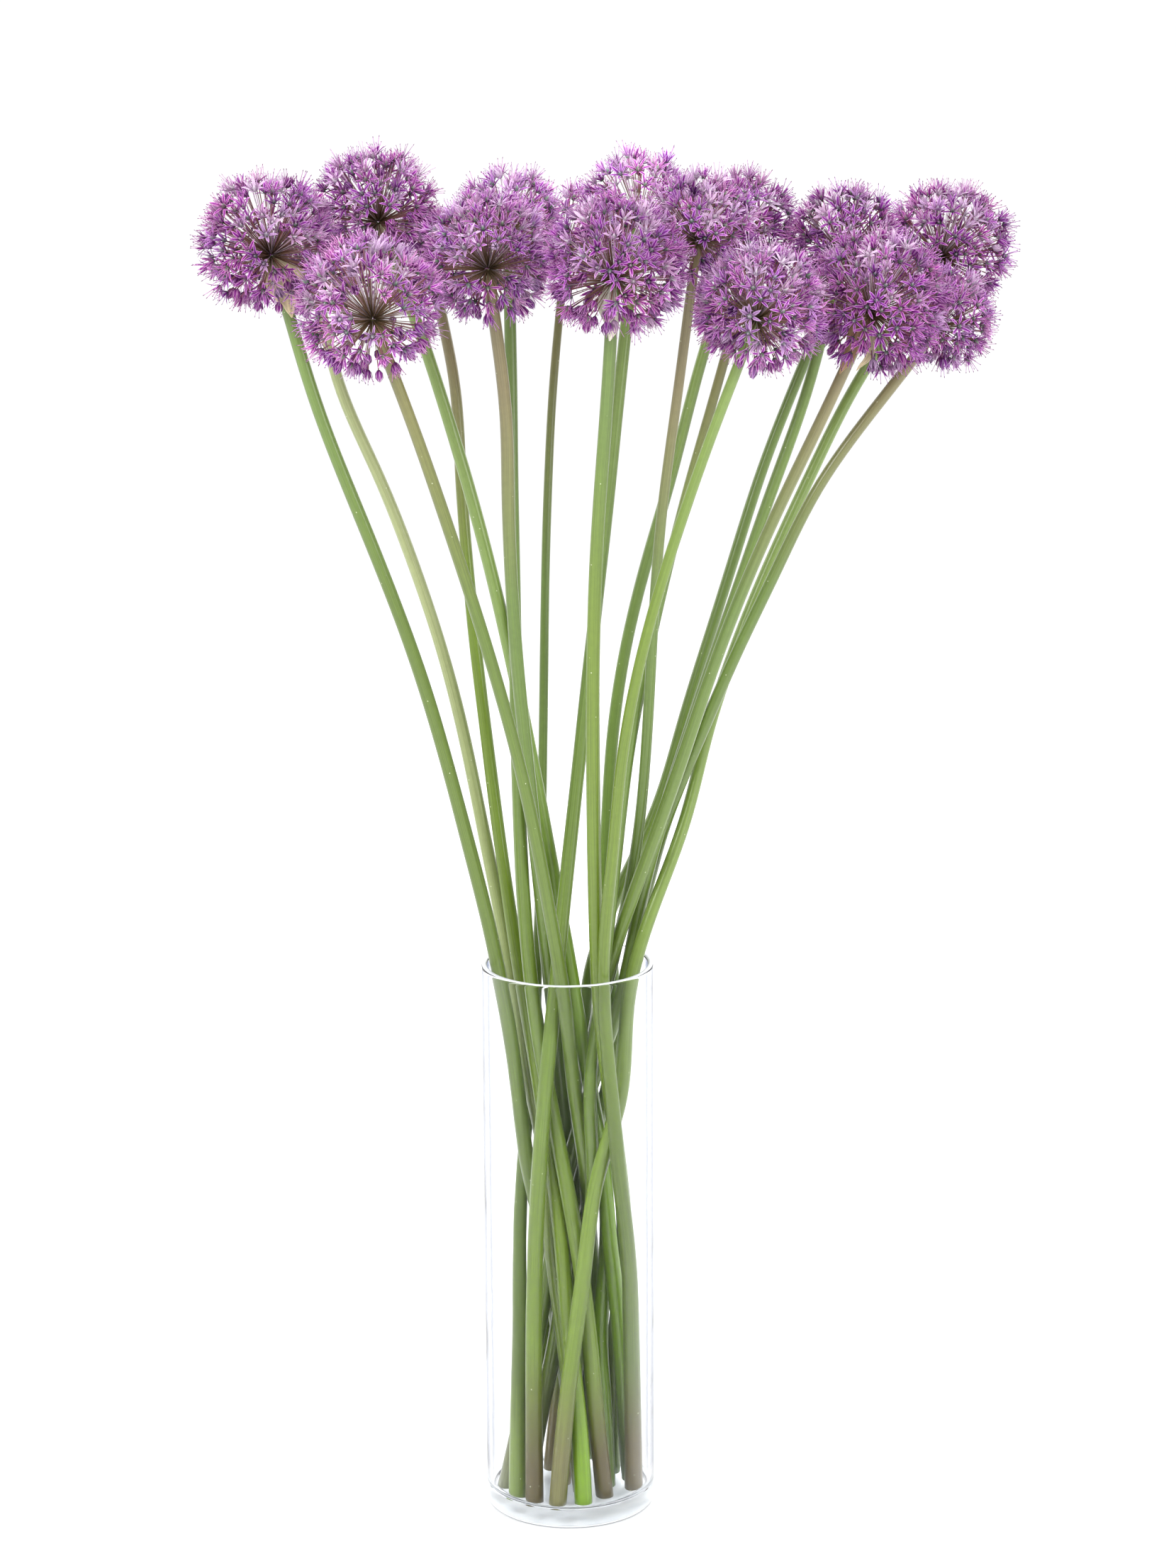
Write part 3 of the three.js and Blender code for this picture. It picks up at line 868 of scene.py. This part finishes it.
def floretTree(formNames):
    # Points carry stalk (way from the core), facing, girth, far (length of stalk), form and tone.
    tree = bpy.data.node_groups.new("floretsOnStalks", "GeometryNodeTree")
    inputs = {"Geometry": addSocket(tree, "Geometry", "NodeSocketGeometry")}
    for name in formNames + ["Stamens", "Ovary", "Stalk"]:
        inputs[name] = addSocket(tree, name, "NodeSocketObject")
    inputs["Floret size"] = addSocket(tree, "Floret size", "NodeSocketFloat")
    inputs["Stalk thickness"] = addSocket(tree, "Stalk thickness", "NodeSocketFloat")
    inputs["Seed"] = addSocket(tree, "Seed", "NodeSocketInt")
    inputs["Material"] = addSocket(tree, "Material", "NodeSocketMaterial")
    addSocket(tree, "Geometry", "NodeSocketGeometry", "OUTPUT")
    link = tree.links.new
    groupIn = tree.nodes.new("NodeGroupInput")
    groupOut = tree.nodes.new("NodeGroupOutput")
    join = tree.nodes.new("GeometryNodeJoinGeometry")

    def made(kind, **settings):
        node = tree.nodes.new(kind)
        for name, value in settings.items():
            setattr(node, name, value)
        return node

    def named(name, kind):
        node = made("GeometryNodeInputNamedAttribute", data_type=kind)
        node.inputs["Name"].default_value = name
        return node.outputs["Attribute"]

    def alignedTo(way):
        node = made("FunctionNodeAlignRotationToVector", axis="Z")
        link(way, node.inputs["Vector"])
        return node.outputs["Rotation"]

    def compared(operation, number):
        node = made("FunctionNodeCompare", data_type="INT", operation=operation)
        link(named("form", "INT"), node.inputs[2])
        node.inputs[3].default_value = number
        return node.outputs["Result"]

    def placed(name, turn, scale, chosen=None):
        info = made("GeometryNodeObjectInfo")
        link(groupIn.outputs[name], info.inputs["Object"])
        node = made("GeometryNodeInstanceOnPoints")
        link(groupIn.outputs["Geometry"], node.inputs["Points"])
        link(info.outputs["Geometry"], node.inputs["Instance"])
        link(turn, node.inputs["Rotation"])
        link(scale, node.inputs["Scale"])
        if chosen is not None:
            link(chosen, node.inputs["Selection"])
        link(node.outputs["Instances"], join.inputs["Geometry"])

    roll = made("FunctionNodeRandomValue", data_type="FLOAT")
    roll.inputs[3].default_value = 2 * math.pi
    link(groupIn.outputs["Seed"], roll.inputs["Seed"])
    spin = made("FunctionNodeAxisAngleToRotation")
    spin.inputs["Axis"].default_value = (0, 0, 1)
    link(roll.outputs[1], spin.inputs["Angle"])
    turned = made("FunctionNodeRotateRotation", rotation_space="LOCAL")
    link(alignedTo(named("facing", "FLOAT_VECTOR")), turned.inputs["Rotation"])
    link(spin.outputs["Rotation"], turned.inputs["Rotate By"])
    sized = made("ShaderNodeMath", operation="MULTIPLY")
    link(named("girth", "FLOAT"), sized.inputs[0])
    link(groupIn.outputs["Floret size"], sized.inputs[1])
    turn, size = turned.outputs["Rotation"], sized.outputs["Value"]
    for k, name in enumerate(formNames):
        placed(name, turn, size, compared("EQUAL", k))
    placed("Stamens", turn, size, compared("LESS_THAN", len(formNames) - 1))    # not on shut buds
    placed("Ovary", turn, size, compared("LESS_THAN", len(formNames) - 2))      # only on open ones
    long = made("ShaderNodeCombineXYZ")
    link(groupIn.outputs["Stalk thickness"], long.inputs["X"])
    link(groupIn.outputs["Stalk thickness"], long.inputs["Y"])
    link(named("far", "FLOAT"), long.inputs["Z"])
    placed("Stalk", alignedTo(named("stalk", "FLOAT_VECTOR")), long.outputs["Vector"])
    real = made("GeometryNodeRealizeInstances")
    link(join.outputs["Geometry"], real.inputs["Geometry"])
    finish = made("GeometryNodeSetMaterial")
    link(real.outputs["Geometry"], finish.inputs["Geometry"])
    link(groupIn.outputs["Material"], finish.inputs["Material"])
    link(finish.outputs["Geometry"], groupOut.inputs[0])
    return tree, inputs


# The last two forms are the half-open and the shut bud.
formMeshes = {
    "Flat star": openTepals(floretLook, "flatStar", 66, 22, 11),
    "Cup": openTepals(floretLook, "cup", 44, 24, 12),
    "Tuft": openTepals(floretLook, "tuft", 27, 18, 13),
    "Half bud": closedTepals(floretLook, "halfBud", 0.0016, 14),
    "Bud": closedTepals(floretLook, "bud", 0.0, 15),
    "Stamens": stamenBrush(floretLook, "stamens", 16),
    "Ovary": ovaryKnob(floretLook, "ovary"),
    "Stalk": floretStalk(floretLook, "floretStalk"),
}
formNames = list(formMeshes)[:5]
patterns = {name: newObject(mesh.name, mesh) for name, mesh in formMeshes.items()}
scatter, scatterInputs = floretTree(formNames)

# Openings through which the stalks show: across and up from the middle as seen from the front,
# then half width and half height, all as shares of the head's radius.
headLook = {
    "floretsPerArea": 0.092,       # for each square millimetre of the radius squared
    "floretSize": 1.0,
    "stalkThickness": 0.8,
    "standIn": 0.0072,             # how far the florets' bases are inside the head's outer reach
    "layerDepth": 0.0072,
    "coreGirth": 0.0028,
    "scatter": 0.065,              # how unevenly the florets stand, and look about
    "lookAbout": 0.17,
    "bareRound": 24,               # degrees about the stem without florets
    "budsUpTo": 88,                # and up to which the buds thin out
    "budsBelow": 1.3,              # how thickly they stand there
    "budsAnywhere": 0.06,
    "inFront": 0.35,               # how squarely a floret has to face an opening to be in it
    "budSink": 0.002,
    "budDroop": 0.35,
    "starCupTuft": [0.30, 0.42, 0.28],
    "light": (0.72, 1.14),
    "warmth": 0.06,
    "paintedHighlightSpread": (-0.30, 0.10),       # painted highlight: some florets are nearly white, most of them on top
    "paintedHighlightOnTop": 0.13,
    "paintedHighlightSteepness": 4,
    "strongestPaintedHighlight": 0.75,
    "openings": {
        1: [(0.17, -0.02, 0.26, 0.20)],
        3: [(0.06, 0.12, 0.14, 0.28), (0.30, -0.22, 0.22, 0.12), (-0.15, -0.35, 0.18, 0.12)],
        4: [(0.02, -0.08, 0.36, 0.13)],
        6: [(0.03, -0.12, 0.50, 0.34)],
        9: [(-0.38, -0.30, 0.25, 0.13), (0.42, -0.40, 0.25, 0.15)],
        10: [(0.0, 0.20, 0.42, 0.30)],
        14: [(0.03, -0.05, 0.13, 0.12), (0.0, -0.42, 0.15, 0.10)],
        17: [(0.0, -0.26, 0.14, 0.09)],
        18: [(0.10, -0.27, 0.16, 0.10)],
    },
    "fullness": {3: 0.80, 8: 0.64, 10: 0.80},
    "shades": {                    # these multiply the florets' colours
        "violet": (0.93, 0.72, 0.88),
        "lilac": (1.06, 0.95, 1.01),
        "pale": (1.26, 1.24, 1.22),
    },
    "shadeOf": [
        "violet", "lilac", "lilac", "violet", "lilac", "lilac", "pale", "pale", "violet", "pale",
        "lilac", "violet", "violet", "lilac", "violet", "violet", "violet", "violet", "lilac",
    ],
    "slotOf": [
        "violet", "lilac", "lilac", "violet", "lilac", "lilac", "lilac", "lilac", "violet", "lilac",
        "lilac", "violet", "violet", "lilac", "violet", "violet", "violet", "violet", "lilac",
    ],
}


def openingsOf(number, heart, look, random):
    toEye = (Vector(view["place"]) - heart).normalized()
    right = Vector((0, 0, 1)).cross(toEye).normalized()
    up = toEye.cross(right)
    found = [(toEye, right, up, shape) for shape in look["openings"].get(number, [])]
    for _ in range(2):                                   # and some that the front doesn't show
        away = Vector(random.normal(size=3)).normalized()
        if away.dot(toEye) < 0.1:
            side = away.orthogonal().normalized()
            found.append((away, side, away.cross(side), (0, 0, 0.26, 0.2)))
    return found


def floretPoints(number, flower, look):
    random = np.random.default_rng(500 + number)
    heart, core, globe = Vector(flower["heart"]), Vector(flower["core"]), flower["globe"]
    axis = Vector(flower["downStem"])
    openings = openingsOf(number, heart, look, random)
    count = int(look["floretsPerArea"] * (globe * 1000) ** 2 * look["fullness"].get(number, 1.0))
    twist = random.uniform(0, 2 * math.pi)
    rows = []
    for i in range(count):
        z = 1 - (2 * i + 1) / count
        ring = math.sqrt(max(0, 1 - z * z))
        a = twist + i * math.pi * (3 - math.sqrt(5))
        way = Vector((ring * math.cos(a), ring * math.sin(a), z))
        way += Vector(random.normal(size=3)) * look["scatter"]
        way.normalize()
        fromStem = math.degrees(way.angle(axis))
        if fromStem < look["bareRound"]:
            continue
        seen = False
        for eye, right, up, (across, high, halfWidth, halfHeight) in openings:
            edge = random.uniform(0.85, 1.15)
            if way.dot(eye) > look["inFront"]:
                u, v = (way.dot(right) - across) / halfWidth, (way.dot(up) - high) / halfHeight
                seen = seen or u * u + v * v < edge
        if seen:
            continue
        low = max(0.0, 1 - fromStem / look["budsUpTo"])
        draw, second = random.uniform(), random.uniform()
        form = int(random.choice([0, 1, 2], p=look["starCupTuft"]))
        if draw < low * look["budsBelow"] or draw > 1 - look["budsAnywhere"]:
            form = 3 if second < 0.5 else 4
        reach = globe - look["standIn"] - random.uniform(0.0, look["layerDepth"])
        reach -= look["budSink"] * (form > 2)
        place = heart + way * reach
        stalk = place - core
        far = stalk.length - look["coreGirth"]
        stalk.normalize()
        facing = way * 0.5 + stalk * 0.5 + Vector(random.normal(size=3)) * look["lookAbout"]
        if form > 2:
            facing += Vector((0, 0, -look["budDroop"]))
        shade = look["shades"][look["shadeOf"][number - 1]]
        light = random.uniform(*look["light"])
        warm = around(random, look["warmth"])
        # painted highlight: florets whitened at random, and more on the top of the head
        paintedHighlight = random.uniform(*look["paintedHighlightSpread"]) + look["paintedHighlightOnTop"] * max(0.0, way.z)
        paintedHighlight = min(look["strongestPaintedHighlight"], max(0.0, paintedHighlight) * look["paintedHighlightSteepness"])
        tone = [c * light * (1 + warm * side) for c, side in zip(shade, (1, 0, -1))] + [paintedHighlight]
        rows.append((tuple(place), tuple(stalk), tuple(facing.normalized()),
                     random.uniform(0.86, 1.12), far, form, tone))
    return rows


def growHead(number, flower, look):
    rows = floretPoints(number, flower, look)
    points = bpy.data.meshes.new(f"floretPoints{number:02d}")
    points.from_pydata([row[0] for row in rows], [], [])
    carried = (("stalk", "FLOAT_VECTOR", "vector", 1), ("facing", "FLOAT_VECTOR", "vector", 2),
               ("girth", "FLOAT", "value", 3), ("far", "FLOAT", "value", 4),
               ("form", "INT", "value", 5), ("tone", "FLOAT_COLOR", "color", 6))
    for name, kind, field, column in carried:
        layer = points.attributes.new(name, kind, "POINT")
        exact = np.int32 if kind == "INT" else np.float32
        layer.data.foreach_set(field, np.array([row[column] for row in rows], dtype=exact).ravel())
    seedling = newObject(points.name, points)
    modifier = seedling.modifiers.new("florets", "NODES")
    modifier.node_group = scatter
    for name, pattern in patterns.items():
        modifier[scatterInputs[name]] = pattern
    modifier[scatterInputs["Floret size"]] = look["floretSize"]
    modifier[scatterInputs["Stalk thickness"]] = look["stalkThickness"]
    modifier[scatterInputs["Seed"]] = number
    modifier[scatterInputs["Material"]] = bloomMaterial
    bpy.context.view_layer.update()
    grown = seedling.evaluated_get(bpy.context.evaluated_depsgraph_get())
    mesh = bpy.data.meshes.new_from_object(grown)
    mesh.name = f"bloom{number:02d}"
    bpy.data.objects.remove(seedling)
    return mesh


triangles = 0
for number, flower in enumerate(flowers, 1):
    mesh = growHead(number, flower, headLook)
    mesh.calc_loop_triangles()
    triangles += len(mesh.loop_triangles)
    bloom = newObject(f"bloom{number:02d}", mesh)
    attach(bloom, "root")
    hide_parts(f"head_{number:02d}")
for pattern in patterns.values():
    bpy.data.objects.remove(pattern)
print("heads ready:", triangles, "triangles")

# The dry sheath that once held the bud, left in scraps under some of the heads.
# Each: flower, turn about the stem in degrees (270 faces the front), length, width, flare, colour.
sheathLook = {
    "scraps": [
        (1, 290, 0.040, 0.015, 0.013, "cream"), (1, 250, 0.030, 0.011, 0.010, "cream"),
        (1, 325, 0.026, 0.010, 0.016, "cream"), (9, 252, 0.038, 0.014, 0.006, "paper"),
        (17, 248, 0.042, 0.011, 0.012, "tan"), (17, 300, 0.036, 0.008, 0.013, "cream"),
        (16, 262, 0.040, 0.008, 0.006, "paper"), (4, 255, 0.020, 0.008, 0.008, "cream"),
    ],
    "cream": (0.86, 0.80, 0.66),
    "paper": (0.93, 0.91, 0.85),
    "tan": (0.70, 0.58, 0.44),
    "thickness": 0.00018,
    "rootOut": (0.0030, 0.001),      # where it leaves the stem: out from its middle, and down
    "ragged": 0.16,
    "curl": (0.30, 0.12),            # rolled in across, and waved
    "sway": (0.0016, 0.002),
    "veins": (0.72, 1.20),
    "seeThrough": 0.35,
    "steps": 14,
    "across": 6,
}


def addScrap(sculpt, flower, look, scrap, random):
    number, turn, length, width, flare, colour = scrap
    down = Vector(flower["downStem"])
    side = Vector((math.cos(math.radians(turn)), math.sin(math.radians(turn)), 0.0))
    out = (side - down * side.dot(down)).normalized()
    wide = down.cross(out)
    wobble = random.uniform(0, 2 * math.pi, 4)
    rolled, waved = look["curl"]
    swayOut, swayWide = look["sway"]
    start = Vector(flower["core"]) + out * look["rootOut"][0] + down * look["rootOut"][1]
    layers = []
    for sign in (1, -1):
        rows = []
        for i in range(look["steps"] + 1):
            t = i / look["steps"]
            half = width / 2 * (0.35 + 1.9 * t * (1 - t) + 0.30 * t) * max(0.10, 1 - t**5)
            row = []
            for j in range(look["across"] + 1):
                u = j / look["across"] * 2 - 1
                edge = 1 + look["ragged"] * math.sin(9 * t + wobble[0] + 2 * u) * abs(u)
                curl = rolled * half * u * u + waved * half * math.sin(5 * u + 7 * t + wobble[1])
                lift = flare * math.sin(min(1.0, t * 1.15) * math.pi * 0.62)
                lift += swayOut * math.sin(6 * t + wobble[2])
                point = (start + down * length * t + out * (lift - curl)
                         + wide * (half * u * edge + swayWide * math.sin(4 * t + wobble[3])))
                shade = 0.84 + 0.22 * t + 0.08 * math.sin(11 * u + wobble[1])
                row.append(sculpt.add(point + out * sign * look["thickness"] / 2,
                                      [c * shade for c in look[colour]]))
            rows.append(row)
        layers.append(rows)
    front, back = layers
    for i in range(look["steps"]):
        for j in range(look["across"]):
            a, b = front[i][j], front[i][j + 1]
            c, d = front[i + 1][j + 1], front[i + 1][j]
            sculpt.faces.append((a, b, c, d))
            a, b = back[i][j], back[i][j + 1]
            c, d = back[i + 1][j + 1], back[i + 1][j]
            sculpt.faces.append((d, c, b, a))
        for j in (0, look["across"]):
            sculpt.faces.append((front[i][j], front[i + 1][j], back[i + 1][j], back[i][j]))
    for i in (0, look["steps"]):
        for j in range(look["across"]):
            sculpt.faces.append((front[i][j], front[i][j + 1], back[i][j + 1], back[i][j]))


def paperySkin(look):
    material, tree, shader = newMaterial("drySheath")
    shader.inputs["Roughness"].default_value = 0.6
    paint = attributeNode(tree, "paint", (-1000, 200))
    place = addNode(tree, "ShaderNodeTexCoord", (-1200, -200))
    stretch = addNode(tree, "ShaderNodeMapping", (-1000, -200), Scale=(1.0, 1.0, 0.15))
    veins = addNode(tree, "ShaderNodeTexNoise", (-800, -200), Scale=900.0, Detail=4.0)
    strength = addNode(tree, "ShaderNodeMapRange", (-600, -200))
    setRange(strength, (0.0, 1.0), look["veins"])
    bump = addNode(tree, "ShaderNodeBump", (-300, -350), Strength=0.4, Distance=0.0003)
    link = tree.links.new
    link(place.outputs["Object"], stretch.inputs["Vector"])
    link(stretch.outputs["Vector"], veins.inputs["Vector"])
    link(veins.outputs["Fac"], strength.inputs["Value"])
    link(veins.outputs["Fac"], bump.inputs["Height"])
    final = multiplyNode(tree, cubed(tree, paint), strength.outputs["Result"], (-300, 100))
    link(final, shader.inputs["Base Color"])
    link(bump.outputs["Normal"], shader.inputs["Normal"])
    letLightThrough(tree, shader, final, look["seeThrough"])
    return material


sheathRandom = np.random.default_rng(71)
sheathSculpt = Sculpt()
for scrap in sheathLook["scraps"]:
    addScrap(sheathSculpt, flowers[scrap[0] - 1], sheathLook, scrap, sheathRandom)
sheathMesh = sheathSculpt.mesh("sheathScraps")
sheathMesh.materials.append(paperySkin(sheathLook))
sheath = newObject("sheathScraps", sheathMesh)
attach(sheath, "root")
print("sheath scraps ready")
